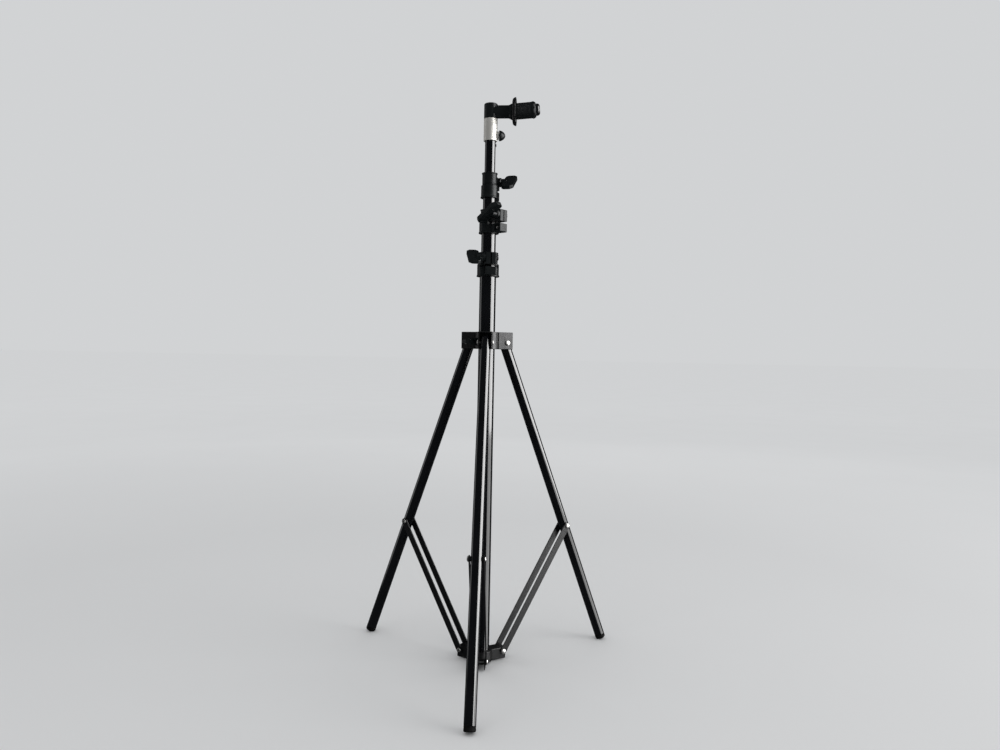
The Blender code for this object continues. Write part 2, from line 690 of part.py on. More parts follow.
def sprung_barrel():
    """Rod, button, coil spring and the barrel that slides on the rod."""
    base = spin(ARM_AZIMUTH) @ shift(0.0, -TILT_AT, ARM_Z) @ Matrix.Rotation(-ARM_TILT, 4, "X")
    seat = base @ shift(0.0, TILT_AT, 0.0) @ OUTWARD
    rod_r = 0.0030
    rod_end = 0.0664
    points = [(0.0, rod_end), (rod_r, rod_end), (rod_r, 0.0255), (rod_r - 0.0005, 0.0250), (0.0, 0.0250)]
    rod = turned("head_rod", points, seat, finish_nickel, sides=SMALL)
    button_r = 0.0088
    face = rod_end + GAP
    button_points = [(0.0, face + 0.0075)]
    button_points += arc(button_r - 0.0040, face + 0.0035, 0.0040, 90.0, 0.0, 5)
    button_points += [(button_r, face + 0.0006), (button_r - 0.0006, face), (0.0, face)]
    button = turned("head_button", button_points, seat, finish_plastic)
    near = 0.0364
    far = 0.0682
    outer_r = 0.0124
    cavity = button_r + 0.0006
    wall = near + 0.0040
    bore = rod_r + GAP
    barrel_points = [(outer_r - 0.0021, far), (outer_r, far - 0.0030), (outer_r, far - 0.0058),
                     (outer_r - 0.0005, far - 0.0062), (outer_r - 0.0005, near + 0.0010),
                     (outer_r - 0.0012, near), (bore, near), (bore, wall), (cavity, wall), (cavity, far)]
    barrel = turned("head_barrel", barrel_points, seat, finish_plastic, closed=True, sides=FINE)
    spring = coil_spring("head_spring", 0.0060, 0.0006, wall + 0.0010, rod_end - 0.0008, 4, seat)
    slide = joint_empty("barrel_slide_axis", seat)
    hang([barrel], slide)
    return [rod, button, spring, slide]


def coil_spring(name, radius, wire, start, end, turns, matrix):
    curve = bpy.data.curves.new(name, "CURVE")
    curve.dimensions = "3D"
    curve.bevel_depth = wire
    curve.bevel_resolution = 0
    curve.use_fill_caps = True
    steps = turns * 10
    spline = curve.splines.new("POLY")
    spline.points.add(steps)
    for i, spot in enumerate(spline.points):
        angle = math.tau * turns * i / steps
        spot.co = (radius * math.cos(angle), radius * math.sin(angle), start + (end - start) * i / steps, 1.0)
    return keep(name, curve_to_mesh(name, curve), matrix, finish_nickel)


def pop_rivet():
    """Small rivet that holds the top plug, on the side of the top tube."""
    seat = spin(SLEEVE_KNOB_AZIMUTH) @ shift(0.0, 0.0, 0.7915) @ OUTWARD
    start = R_TOP + GAP
    points = [(0.0, start + 0.0012), (0.0014, start + 0.0010), (0.0024, start + 0.0003), (0.0024, start),
              (0.0014, start), (0.0014, R_TOP - 0.0016), (0.0, R_TOP - 0.0016)]
    return turned("column_top_rivet", points, seat, finish_nickel, sides=SMALL)


def column():
    tube("column_base_tube", R_BASE, 0.0020, LOWER_COLLAR[0] + SOCKET_DEPTH)
    sections = (("column_lower_tube", R_LOWER, R_BASE, MIDDLE_COLLAR[0] + SOCKET_DEPTH),
                ("column_upper_tube", R_UPPER, R_LOWER, UPPER_COLLAR[0] + SOCKET_DEPTH),
                ("column_top_tube", R_TOP, R_UPPER, TOP_TUBE_END))
    for name, radius, outside, top in sections:
        bottom = top - SECTION_LENGTH
        stem = tube(name, radius, bottom, top)
        bush(name.replace("tube", "bush"), radius - WALL, outside - WALL, bottom)
        if name == "column_top_tube":
            hole = [(shift(0.0, -R_TOP, 0.7915) @ OUTWARD, 0.0014 + GAP, 0.0060)]
            cutter = tool("top_rivet_hole", rod_mesh("top_rivet_hole", hole), spin(SLEEVE_KNOB_AZIMUTH))
            boolean(stem, cutter, "DIFFERENCE")
    end_cap()
    spigot()
    pop_rivet()


def folding_base():
    crown_pivot = joint_empty("crown_axis", shift(0.0, -CROWN_PIVOT_R, CROWN_PIVOT_Z))
    spider()
    carried = [crown()]
    for side, azimuth in LEG_AZIMUTHS.items():
        leg(side, azimuth)
        brace(side, azimuth)
        turn = spin(azimuth)
        crown_seat = turn @ shift(0.0, -CROWN_PIVOT_R, CROWN_PIVOT_Z)
        carried.append(rivet("crown_rivet_" + side, CROWN_ARM_HALF + GAP, crown_seat))
        rivet("spider_rivet_" + side, BAR_OUTER + GAP, turn @ shift(0.0, -SPIDER_PIVOT_R, SPIDER_PIVOT_Z))
    carried += crown_lock()
    hang(carried, crown_pivot)


def head():
    pieces = [sleeve(), elbow(), claw(), sleeve_knob()] + sprung_barrel()
    swivel = joint_empty("head_swivel_axis", shift(0.0, 0.0, SLEEVE_BOTTOM))
    hang(pieces, swivel)


column()
collar_set("collar_lower", LOWER_COLLAR, R_BASE, R_LOWER, 0.0145, 0.0165, 11.7, -28.0)
collar_set("collar_middle", MIDDLE_COLLAR, R_LOWER, R_UPPER, 0.0125, 0.0145, 51.0, 32.0)
collar_set("collar_upper", UPPER_COLLAR, R_UPPER, R_TOP, 0.0112, 0.0127, 168.0, 33.0)
folding_base()
head()
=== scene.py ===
"""Looks for the folding light stand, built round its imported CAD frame.

Every visible CAD solid is replaced by a finer piece of the same size in the same
place.  Places come from the frame: node boxes, joint positions and joint axes.
"""
import json
import math

import bmesh
import bpy
from mathutils import Matrix, Vector

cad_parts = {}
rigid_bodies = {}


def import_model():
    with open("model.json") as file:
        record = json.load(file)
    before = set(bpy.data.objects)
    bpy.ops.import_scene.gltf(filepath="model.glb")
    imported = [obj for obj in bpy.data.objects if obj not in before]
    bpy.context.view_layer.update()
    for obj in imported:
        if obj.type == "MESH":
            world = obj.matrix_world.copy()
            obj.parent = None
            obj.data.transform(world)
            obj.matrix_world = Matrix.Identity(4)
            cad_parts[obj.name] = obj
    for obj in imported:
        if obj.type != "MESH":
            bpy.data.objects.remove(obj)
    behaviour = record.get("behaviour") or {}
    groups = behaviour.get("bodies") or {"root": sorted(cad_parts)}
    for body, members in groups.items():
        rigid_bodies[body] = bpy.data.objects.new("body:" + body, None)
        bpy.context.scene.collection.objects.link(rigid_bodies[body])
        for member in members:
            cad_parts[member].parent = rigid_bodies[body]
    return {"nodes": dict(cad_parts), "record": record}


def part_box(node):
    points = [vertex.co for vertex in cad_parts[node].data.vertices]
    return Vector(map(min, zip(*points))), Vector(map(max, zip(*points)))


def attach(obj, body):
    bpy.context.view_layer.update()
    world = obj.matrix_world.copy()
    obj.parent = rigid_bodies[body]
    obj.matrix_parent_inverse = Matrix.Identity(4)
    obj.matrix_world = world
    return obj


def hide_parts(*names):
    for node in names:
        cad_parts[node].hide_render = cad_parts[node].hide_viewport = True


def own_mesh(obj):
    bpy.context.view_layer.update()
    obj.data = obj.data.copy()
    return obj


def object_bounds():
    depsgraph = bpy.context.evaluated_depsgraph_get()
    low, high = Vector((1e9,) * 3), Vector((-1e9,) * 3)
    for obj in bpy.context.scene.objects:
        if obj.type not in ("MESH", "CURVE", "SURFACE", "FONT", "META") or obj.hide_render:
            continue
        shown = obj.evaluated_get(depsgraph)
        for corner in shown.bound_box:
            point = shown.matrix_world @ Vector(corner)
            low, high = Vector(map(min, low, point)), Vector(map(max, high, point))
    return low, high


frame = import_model()
cad_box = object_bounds()

JOINTS = {joint["name"]: joint for joint in frame["record"]["behaviour"]["joints"]}
GAP = 0.0003                             # between pieces that touch
WALL = 0.0010                            # of every tube
HOLE = 0.0023                            # radius of a rivet hole
BUSH_R = 0.0036                          # bush through a leg at its knee
PLAY_R = 0.0036                          # hole in a leg's top, with play round the rivet
SIDES = ("front", "right", "left")
AZIMUTH = {"front": 0.0, "right": 120.0, "left": -120.0}
FINE = 64                                # sides of a turned piece
FINER = 96                               # sides of a large turned piece
SMALL = 40                               # sides of a small turned piece
SHARP = math.radians(32.0)               # edges steeper than this stay sharp
# each collar's tube radius, next tube's radius, upper and lower ring radius, and its knob's tilt
COLLARS = {"lower": (0.0125, 0.0110, 0.0145, 0.0165, -28.0),
           "middle": (0.0110, 0.0095, 0.0125, 0.0145, 32.0),
           "upper": (0.0095, 0.0080, 0.0112, 0.0127, 33.0)}
ALONG_X = Matrix.Rotation(math.radians(90.0), 4, "Y")
OUTWARD = Matrix.Rotation(math.radians(90.0), 4, "X")
ASIDE = Matrix.Rotation(math.radians(-90.0), 4, "Y")
IDENTITY = Matrix.Identity(4)
TOOLS = bpy.data.collections.new("cutters")


# ---------------------------------------------------------------- materials

class Shader:
    """A Principled material with small helpers for its procedural nodes."""

    def __init__(self, name, base, rough, metallic=0.0, coat=0.0, coat_rough=0.1, specular=0.5):
        self.material = bpy.data.materials.new(name)
        self.material.use_nodes = True
        self.tree = self.material.node_tree
        self.main = self.tree.nodes["Principled BSDF"]
        self.main.inputs["Base Color"].default_value = (*base, 1.0)
        self.main.inputs["Roughness"].default_value = rough
        self.main.inputs["Metallic"].default_value = metallic
        self.main.inputs["Coat Weight"].default_value = coat
        self.main.inputs["Coat Roughness"].default_value = coat_rough
        self.main.inputs["Specular IOR Level"].default_value = specular
        self.place = self.tree.nodes.new("ShaderNodeTexCoord").outputs["Object"]
        self.bumps = []

    def link(self, source, target):
        self.tree.links.new(source, target)

    def stretched(self, scale):
        node = self.tree.nodes.new("ShaderNodeMapping")
        node.inputs["Scale"].default_value = scale
        self.link(self.place, node.inputs["Vector"])
        return node.outputs["Vector"]

    def noise(self, scale, detail=3.0, rough=0.55, vector=None):
        node = self.tree.nodes.new("ShaderNodeTexNoise")
        node.inputs["Scale"].default_value = scale
        node.inputs["Detail"].default_value = detail
        node.inputs["Roughness"].default_value = rough
        self.link(vector or self.place, node.inputs["Vector"])
        return node.outputs["Fac"]

    def cells(self, scale):
        node = self.tree.nodes.new("ShaderNodeTexVoronoi")
        node.inputs["Scale"].default_value = scale
        self.link(self.place, node.inputs["Vector"])
        return node.outputs["Distance"]

    def ramp(self, source, stops):
        node = self.tree.nodes.new("ShaderNodeValToRGB")
        ramp = node.color_ramp
        while len(ramp.elements) < len(stops):
            ramp.elements.new(0.5)
        for element, (spot, colour) in zip(ramp.elements, stops):
            element.position = spot
            element.color = (*colour, 1.0) if isinstance(colour, tuple) else (colour, colour, colour, 1.0)
        self.link(source, node.inputs["Fac"])
        return node.outputs["Color"]

    def mix(self, factor, first, second):
        node = self.tree.nodes.new("ShaderNodeMix")
        node.data_type = "RGBA"
        self.link(factor, node.inputs["Factor"])
        for value, socket in ((first, node.inputs["A"]), (second, node.inputs["B"])):
            if isinstance(value, tuple):
                socket.default_value = (*value, 1.0)
            else:
                self.link(value, socket)
        return node.outputs["Result"]

    def edges(self, radius=0.0006):
        """1 along the piece's edges, 0 on flat stretches."""
        soft = self.tree.nodes.new("ShaderNodeBevel")
        soft.samples = 4
        soft.inputs["Radius"].default_value = radius
        hard = self.tree.nodes.new("ShaderNodeNewGeometry")
        dot = self.tree.nodes.new("ShaderNodeVectorMath")
        dot.operation = "DOT_PRODUCT"
        self.link(soft.outputs["Normal"], dot.inputs[0])
        self.link(hard.outputs["Normal"], dot.inputs[1])
        return self.ramp(dot.outputs["Value"], [(0.80, 1.0), (0.985, 0.0)])

    def times(self, first, second):
        node = self.tree.nodes.new("ShaderNodeMath")
        node.operation = "MULTIPLY"
        for value, socket in ((first, node.inputs[0]), (second, node.inputs[1])):
            if isinstance(value, float):
                socket.default_value = value
            else:
                self.link(value, socket)
        return node.outputs["Value"]

    def colour(self, source):
        self.link(source, self.main.inputs["Base Color"])

    def roughness(self, source):
        self.link(source, self.main.inputs["Roughness"])

    def bump(self, source, depth):
        node = self.tree.nodes.new("ShaderNodeBump")
        node.inputs["Strength"].default_value = 1.0
        node.inputs["Distance"].default_value = depth
        self.link(source, node.inputs["Height"])
        if self.bumps:
            self.link(self.bumps[-1], node.inputs["Normal"])
        self.bumps.append(node.outputs["Normal"])
        self.link(node.outputs["Normal"], self.main.inputs["Normal"])


def gloss_paint():
    made = Shader("gloss_black_paint", (0.003, 0.003, 0.004), 0.12, coat=0.70, coat_rough=0.05)
    streaks = made.noise(60.0, 3.0, vector=made.stretched((1.0, 1.0, 0.06)))
    base = made.ramp(made.noise(22.0, 4.0), [(0.30, (0.0016, 0.0018, 0.0026)),
                                             (0.72, (0.0040, 0.0041, 0.0054))])
    specks = made.ramp(made.noise(700.0, 2.0), [(0.72, 0.0), (0.84, 0.14)])
    dusty = made.mix(specks, base, (0.024, 0.024, 0.026))
    wear = made.times(made.edges(), made.ramp(made.noise(420.0, 4.0), [(0.48, 0.0), (0.66, 0.4)]))
    made.colour(made.mix(wear, dusty, (0.07, 0.069, 0.068)))
    made.roughness(made.ramp(streaks, [(0.30, 0.09), (0.55, 0.12), (0.80, 0.17)]))
    made.bump(made.noise(90.0, 2.0), 0.000003)
    return made.material


def satin_paint():
    made = Shader("satin_black_paint", (0.008, 0.008, 0.009), 0.40)
    base = made.ramp(made.noise(30.0, 4.0), [(0.30, (0.0036, 0.0037, 0.0046)),
                                             (0.75, (0.0072, 0.0073, 0.0086))])
    scuff = made.ramp(made.noise(260.0, 5.0, 0.7), [(0.68, 0.0), (0.82, 0.12)])
    worn = made.mix(scuff, base, (0.030, 0.030, 0.031))
    wear = made.times(made.edges(), made.ramp(made.noise(500.0, 4.0), [(0.42, 0.0), (0.62, 0.6)]))
    made.colour(made.mix(wear, worn, (0.075, 0.074, 0.072)))
    made.roughness(made.ramp(made.noise(140.0, 4.0), [(0.25, 0.36), (0.75, 0.46)]))
    made.bump(made.noise(900.0, 2.0), 0.000008)
    return made.material


def moulded_plastic(name, specular, rough, worn):
    made = Shader(name, (0.008, 0.010, 0.011), rough, specular=specular)
    base = made.ramp(made.noise(45.0, 4.0), [(0.28, (0.0050, 0.0066, 0.0072)),
                                             (0.76, (0.0092, 0.0118, 0.0126))])
    bright = made.times(made.edges(0.0004), made.ramp(made.noise(600.0, 3.0), [(0.35, 0.1), (0.62, worn)]))
    made.colour(made.mix(bright, base, (0.032, 0.036, 0.038)))
    made.roughness(made.ramp(made.noise(160.0, 4.0), [(0.25, rough - 0.05), (0.78, rough + 0.06)]))
    made.bump(made.noise(700.0, 3.0), 0.000010)
    return made.material


def smooth_plastic():
    made = Shader("black_smooth_plastic", (0.008, 0.008, 0.009), 0.20, coat=0.3, coat_rough=0.10)
    base = made.ramp(made.noise(60.0, 4.0), [(0.30, (0.006, 0.0065, 0.007)), (0.75, (0.012, 0.0125, 0.014))])
    wear = made.times(made.edges(0.0004), made.ramp(made.noise(500.0, 3.0), [(0.4, 0.1), (0.65, 0.5)]))
    made.colour(made.mix(wear, base, (0.05, 0.05, 0.053)))
    made.roughness(made.ramp(made.noise(160.0, 3.0), [(0.25, 0.16), (0.78, 0.28)]))
    made.bump(made.noise(900.0, 2.0), 0.00002)
    return made.material


def nickel():
    made = Shader("bright_nickel_plate", (0.80, 0.79, 0.77), 0.50, metallic=1.0)
    cloud = made.noise(240.0, 4.0)
    made.colour(made.ramp(cloud, [(0.25, (0.70, 0.69, 0.665)), (0.70, (0.86, 0.85, 0.83))]))
    made.roughness(made.ramp(made.noise(700.0, 4.0), [(0.25, 0.44), (0.80, 0.58)]))
    made.bump(made.noise(1300.0, 3.0), 0.00003)
    return made.material


def brushed_aluminium():
    made = Shader("brushed_aluminium", (0.80, 0.78, 0.74), 0.52, metallic=0.62)
    lines = made.noise(90.0, 5.0, 0.7, made.stretched((1.0, 1.0, 26.0)))
    cloud = made.ramp(made.noise(60.0, 3.0), [(0.30, (0.66, 0.64, 0.60)), (0.70, (0.71, 0.695, 0.66))])
    upright = made.noise(420.0, 5.0, 0.75, made.stretched((1.0, 1.0, 0.12)))
    scratch = made.ramp(upright, [(0.68, 0.0), (0.78, 0.15)])
    made.colour(made.mix(scratch, cloud, (0.54, 0.53, 0.50)))
    made.roughness(made.ramp(lines, [(0.25, 0.47), (0.75, 0.58)]))
    made.bump(lines, 0.000002)
    return made.material


def dark_steel():
    made = Shader("blackened_steel", (0.10, 0.10, 0.105), 0.42, metallic=1.0)
    cloud = made.noise(240.0, 4.0)
    made.colour(made.ramp(cloud, [(0.25, (0.075, 0.076, 0.080)), (0.72, (0.14, 0.14, 0.145))]))
    made.roughness(made.ramp(made.noise(600.0, 4.0), [(0.25, 0.36), (0.80, 0.52)]))
    made.bump(made.noise(1300.0, 3.0), 0.00002)
    return made.material


def rubber():
    made = Shader("black_rubber", (0.005, 0.005, 0.005), 0.7, specular=0.08)
    base = made.ramp(made.noise(120.0, 5.0), [(0.28, (0.0030, 0.0030, 0.0030)),
                                              (0.75, (0.0072, 0.0070, 0.0068))])
    dust = made.ramp(made.noise(520.0, 5.0, 0.7), [(0.58, 0.0), (0.74, 0.4)])
    made.colour(made.mix(made.times(dust, 0.3), base, (0.030, 0.029, 0.027)))
    made.roughness(made.ramp(made.noise(300.0, 4.0), [(0.25, 0.55), (0.75, 0.80)]))
    made.bump(made.cells(1500.0), 0.00006)
    return made.material


PAINT = gloss_paint()
SATIN = satin_paint()
PLASTIC = moulded_plastic("charcoal_moulded_plastic", 0.20, 0.36, 0.4)
GRIP = moulded_plastic("ribbed_grip_plastic", 0.18, 0.50, 0.1)
SMOOTH = smooth_plastic()
NICKEL = nickel()
ALUMINIUM = brushed_aluminium()
RUBBER = rubber()
STEEL = dark_steel()


# ------------------------------------------------------------------ helpers

def spin(degrees):
    return Matrix.Rotation(math.radians(degrees), 4, "Z")


def shift(x, y, z):
    return Matrix.Translation(Vector((x, y, z)))


def lean(angle):
    return Matrix.Rotation(angle, 4, "X")


def facing(axis):
    """Turns -Y to the level direction of an axis."""
    return spin(math.degrees(math.atan2(axis.x, -axis.y)))


def heights(node):
    low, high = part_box(node)
    return low.z, high.z


def joint_place(name):
    return Vector(JOINTS[name]["pos_m"])


def joint_axis(name):
    return Vector(JOINTS[name]["axis"]).normalized()


def body_of(node):
    for body, nodes in frame["record"]["behaviour"]["bodies"].items():
        if node in nodes:
            return body
    raise KeyError(node)


def tool(name, mesh, matrix):
    """A helper object that a boolean adds to a piece or takes from it."""
    made = bpy.data.objects.new("cut_" + name, mesh)
    TOOLS.objects.link(made)
    made.matrix_world = matrix
    return made


def settle(made):
    """Applies an object's modifiers and gives it a clean mesh."""
    graph = bpy.context.evaluated_depsgraph_get()
    graph.update()
    mesh = bpy.data.meshes.new_from_object(made.evaluated_get(graph))
    made.modifiers.clear()
    old = made.data
    made.data = mesh
    bpy.data.meshes.remove(old)


def piece(node, mesh, matrix, look):
    """A finer piece in place of a CAD node, before its modifiers."""
    made = bpy.data.objects.new("fine_" + node, mesh)
    bpy.context.scene.collection.objects.link(made)
    made.matrix_world = matrix
    mesh.materials.clear()
    mesh.materials.append(look)
    return made


def done(made, node, look):
    """Finishes a piece: one material, crisp shading, and its CAD node's body and place."""
    settle(made)
    mesh = made.data
    mesh.transform(made.matrix_world)
    made.matrix_world = IDENTITY
    mesh.materials.clear()
    mesh.materials.append(look)
    for face in mesh.polygons:
        face.material_index = 0
    mesh.shade_smooth()
    mesh.set_sharp_from_angle(angle=SHARP)
    step = made.modifiers.new("shading", "WEIGHTED_NORMAL")
    step.keep_sharp = True
    settle(made)
    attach(made, body_of(node))
    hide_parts(node)
    return made


def boolean(target, other, operation):
    step = target.modifiers.new(other.name, "BOOLEAN")
    step.operation = operation
    step.solver = "EXACT"
    step.object = other


def bevel(target, width, segments=3, angle=35.0):
    step = target.modifiers.new("edges", "BEVEL")
    step.width = width
    step.segments = segments
    step.limit_method = "ANGLE"
    step.angle_limit = math.radians(angle)
    step.use_clamp_overlap = True


def profile_mesh(name, points, closed):
    """An outline of (radius, height) points, ready to turn about Z."""
    mesh = bpy.data.meshes.new(name)
    edges = [(i, i + 1) for i in range(len(points) - 1)]
    if closed:
        edges.append((len(points) - 1, 0))
    mesh.from_pydata([(r, 0.0, z) for r, z in points], edges, [])
    return mesh


def add_screw(made, sides):
    step = made.modifiers.new("turn", "SCREW")
    step.axis = "Z"
    step.angle = math.tau
    step.steps = sides
    step.render_steps = sides
    step.use_merge_vertices = True
    step.merge_threshold = 0.00001
    step.use_smooth_shade = True


def turned(node, points, matrix, look, closed=False, sides=FINE):
    made = piece(node, profile_mesh(node, points, closed), matrix, look)
    add_screw(made, sides)
    return made


def rounded(points, radius, closed=False, count=3):
    """Rounds every corner of a profile that doesn't lie on the axis."""
    result = []
    total = len(points)
    for i, point in enumerate(points):
        here = Vector(point)
        at_end = not closed and i in (0, total - 1)
        if at_end or here.x < 1e-6:
            result.append(point)
            continue
        before = Vector(points[i - 1]) - here
        after = Vector(points[(i + 1) % total]) - here
        reach = min(radius, before.length * 0.45, after.length * 0.45)
        start = here + before.normalized() * reach
        end = here + after.normalized() * reach
        for k in range(count + 1):
            t = k / count
            spot = start * (1 - t) ** 2 + here * (2 * t * (1 - t)) + end * t ** 2
            result.append((spot.x, spot.y))
    return result


def ring(inner, outer, bottom, top):
    return [(outer, top), (outer, bottom), (inner, bottom), (inner, top)]


def box_mesh(name, boxes):
    """One mesh of boxes, each a centre, a size and perhaps a matrix."""
    work = bmesh.new()
    for entry in boxes:
        centre, size = entry[0], entry[1]
        matrix = entry[2] if len(entry) > 2 else IDENTITY
        scale = Matrix.Diagonal((size[0], size[1], size[2], 1.0))
        bmesh.ops.create_cube(work, size=1.0, matrix=matrix @ shift(*centre) @ scale)
    mesh = bpy.data.meshes.new(name)
    work.to_mesh(mesh)
    work.free()
    return mesh


def rod_mesh(name, rods, sides=SMALL):
    """One mesh of rods, each a matrix, a radius and a length along its Z."""
    work = bmesh.new()
    for matrix, radius, length in rods:
        bmesh.ops.create_cone(work, cap_ends=True, segments=sides, radius1=radius,
                              radius2=radius, depth=length, matrix=matrix)
    mesh = bpy.data.meshes.new(name)
    work.to_mesh(mesh)
    work.free()
    return mesh


def flat_mesh(name, loops, thickness):
    """A flat plate from closed outlines: the first is the edge, the rest are holes."""
    curve = bpy.data.curves.new(name, "CURVE")
    curve.dimensions = "2D"
    curve.fill_mode = "BOTH"
    curve.extrude = thickness / 2.0
    for loop in loops:
        spline = curve.splines.new("POLY")
        spline.points.add(len(loop) - 1)
        for spot, (x, y) in zip(spline.points, loop):
            spot.co = (x, y, 0.0, 1.0)
        spline.use_cyclic_u = True
    return curve_mesh(name, curve)


def curve_mesh(name, curve):
    made = bpy.data.objects.new(name, curve)
    bpy.context.scene.collection.objects.link(made)
    graph = bpy.context.evaluated_depsgraph_get()
    mesh = bpy.data.meshes.new_from_object(made.evaluated_get(graph))
    work = bmesh.new()
    work.from_mesh(mesh)
    bmesh.ops.remove_doubles(work, verts=work.verts, dist=0.00002)
    bmesh.ops.recalc_face_normals(work, faces=work.faces)
    work.to_mesh(mesh)
    work.free()
    bpy.data.objects.remove(made, do_unlink=True)
    return mesh


def circle(radius, centre_y=0.0, count=32):
    turns = [math.tau * i / count for i in range(count)]
    return [(radius * math.cos(turn), centre_y + radius * math.sin(turn)) for turn in turns]


def add_box(made, name, centre, size, place, soft, segments=3):
    solid = tool(name, box_mesh(name, [(centre, size)]), place)
    bevel(solid, soft, segments)
    boolean(made, solid, "UNION")


def drill(made, name, rods, place, sides=SMALL):
    boolean(made, tool(name, rod_mesh(name, rods, sides), place), "DIFFERENCE")


def carve(made, name, boxes, place, soft=0.0, segments=3):
    cutter = tool(name, box_mesh(name, boxes), place)
    if soft:
        bevel(cutter, soft, segments)
    boolean(made, cutter, "DIFFERENCE")


# ------------------------------------------------------------------- column

def column_tubes():
    for node in ("column_base_tube", "column_lower_tube", "column_upper_tube", "column_top_tube"):
        low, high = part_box(node)
        radius = (high.y - low.y) / 2.0
        points = rounded(ring(radius - WALL, radius, low.z, high.z), 0.0003, True)
        done(turned(node, points, IDENTITY, PAINT, True, FINER), node, PAINT)


def plain_nodes():
    """Hidden pieces keep their CAD shape and get a finished surface."""
    for node in ("column_lower_bush", "column_upper_bush", "column_top_bush", "column_top_plug"):
        shown = frame["nodes"][node]
        shown.data.materials.clear()
        shown.data.materials.append(PLASTIC)


def end_cap():
    node = "column_end_cap"
    low, high = heights(node)
    plug = COLLARS["lower"][0] - WALL - GAP
    rim = 0.0140
    seat = low + 0.0017
    points = [(0.0, high), (plug, high), (plug, seat), (rim, seat), (rim, low), (0.0, low)]
    done(turned(node, rounded(points, 0.0005), IDENTITY, RUBBER), node, RUBBER)


# ------------------------------------------------------------------ collars

EAR_REACH = 0.0300                       # from the column's axis to the ears' ends
EAR_HALF = 0.0082                        # half the width over both ears
EAR_DROP = 0.0020                        # from the collar's top to the ears
EAR_SPLIT = 0.0150                       # height of the gap between upper and lower ears
EAR_GAP = 0.0036
EAR_SINK = 0.0010                        # how far the ears start inside the ring
BOLT_R = 0.0025
SCREW_R = 0.0014
SCREW_RISE = 0.0072
FLOOR_X = EAR_HALF - 0.0035              # floor of the fixing screw's recess


def collar(label, tube_r, inner_r, upper_r, lower_r, tilt):
    """Clamp collar fixed on one tube, with its ears round the next and its knob tilted."""
    node = "collar_" + label
    bottom, top = heights(node)
    knob_joint = "knob_" + label + "_turn"
    axis = joint_axis(knob_joint)
    pivot = joint_place(knob_joint)
    place = Matrix.Rotation(math.atan2(-axis.y, -axis.x), 4, "Z")
    bolt_y = -math.hypot(pivot.x, pivot.y)
    collar_ring(node, bottom, top, place, bolt_y, pivot.z, tube_r, inner_r, upper_r, lower_r)
    fixing_screw(node + "_screw", place @ shift(0.0, bolt_y, bottom + SCREW_RISE) @ ASIDE)
    seat = place @ shift(0.0, bolt_y, pivot.z) @ ASIDE
    clamp_bolt(node + "_bolt", seat)
    wing_knob(node + "_knob", seat @ spin(90.0 + tilt), boss_r=0.0070, hub_r=0.0056, start=EAR_HALF + GAP,
              near=EAR_HALF + 0.0075, far=EAR_HALF + 0.0262, tip=0.0220, thickness=0.0058, bore=BOLT_R + GAP)


def collar_ring(node, bottom, top, place, bolt_y, bolt_z, tube_r, inner_r, upper_r, lower_r):
    step_z = bottom + 0.0175
    waist = bottom + 0.0190
    lip = 0.0008
    grip = inner_r + GAP
    seat = tube_r + GAP
    points = [(upper_r + lip, top), (upper_r + lip, top - 0.0012), (upper_r, top - 0.0020),
              (upper_r, waist + 0.0026), (upper_r - 0.0004, waist + 0.0023),
              (upper_r - 0.0004, waist + 0.0017), (upper_r, waist + 0.0014), (upper_r, waist + 0.0006),
              (lower_r, waist - 0.0004), (lower_r, bottom + 0.0028), (lower_r + lip, bottom + 0.0016),
              (lower_r + lip, bottom), (seat, bottom), (seat, step_z), (grip, step_z), (grip, top)]
    made = turned(node, rounded(points, 0.0004, True, 2), place, PLASTIC, True)
    gap_z = bottom + EAR_SPLIT
    ears = (("upper", gap_z, top - EAR_DROP, grip), ("lower", bottom + 0.0006, gap_z, seat))
    for label, low, high, near in ears:
        inside = near + EAR_SINK
        centre = (0.0, -(inside + EAR_REACH) / 2.0, (low + high) / 2.0)
        size = (2.0 * EAR_HALF, EAR_REACH - inside, high - low)
        add_box(made, node + label, centre, size, place, 0.0014)
    above = top + 0.0010
    slit = ((0.0, -0.0200, (gap_z + above) / 2.0), (0.0020, 0.0300, above - gap_z))
    gap = ((0.0, -0.0220, gap_z), (0.0400, 0.0280, EAR_GAP))
    carve(made, node + "slit", [slit], place)
    carve(made, node + "gap", [gap], place)
    screw_z = bottom + SCREW_RISE
    recess = ((-EAR_HALF, bolt_y, screw_z), (2.0 * (EAR_HALF - FLOOR_X), 0.0096, 0.0094))
    carve(made, node + "recess", [recess], place, 0.0008)
    holes = [(shift(0.0, bolt_y, bolt_z) @ ALONG_X, BOLT_R + GAP, 0.050),
             (shift(-0.0010, bolt_y, screw_z) @ ALONG_X, SCREW_R + GAP, 0.0100)]
    drill(made, node + "holes", holes, place)
    bevel(made, 0.0002, 2, 40.0)
    done(made, node, PLASTIC)


def fixing_screw(node, seat):
    """Small socket screw on the floor of the recess."""
    head = 0.0024
    socket = 0.0011
    top = FLOOR_X + 0.0021
    points = [(0.0, FLOOR_X + 0.0012), (socket, FLOOR_X + 0.0012), (socket, top),
              (head - 0.0007, top - 0.0001), (head, FLOOR_X + 0.0012), (head, FLOOR_X + GAP),
              (SCREW_R, FLOOR_X + GAP), (SCREW_R, -0.0035), (0.0, -0.0035)]
    done(turned(node, rounded(points, 0.0002), seat, NICKEL, sides=SMALL), node, NICKEL)


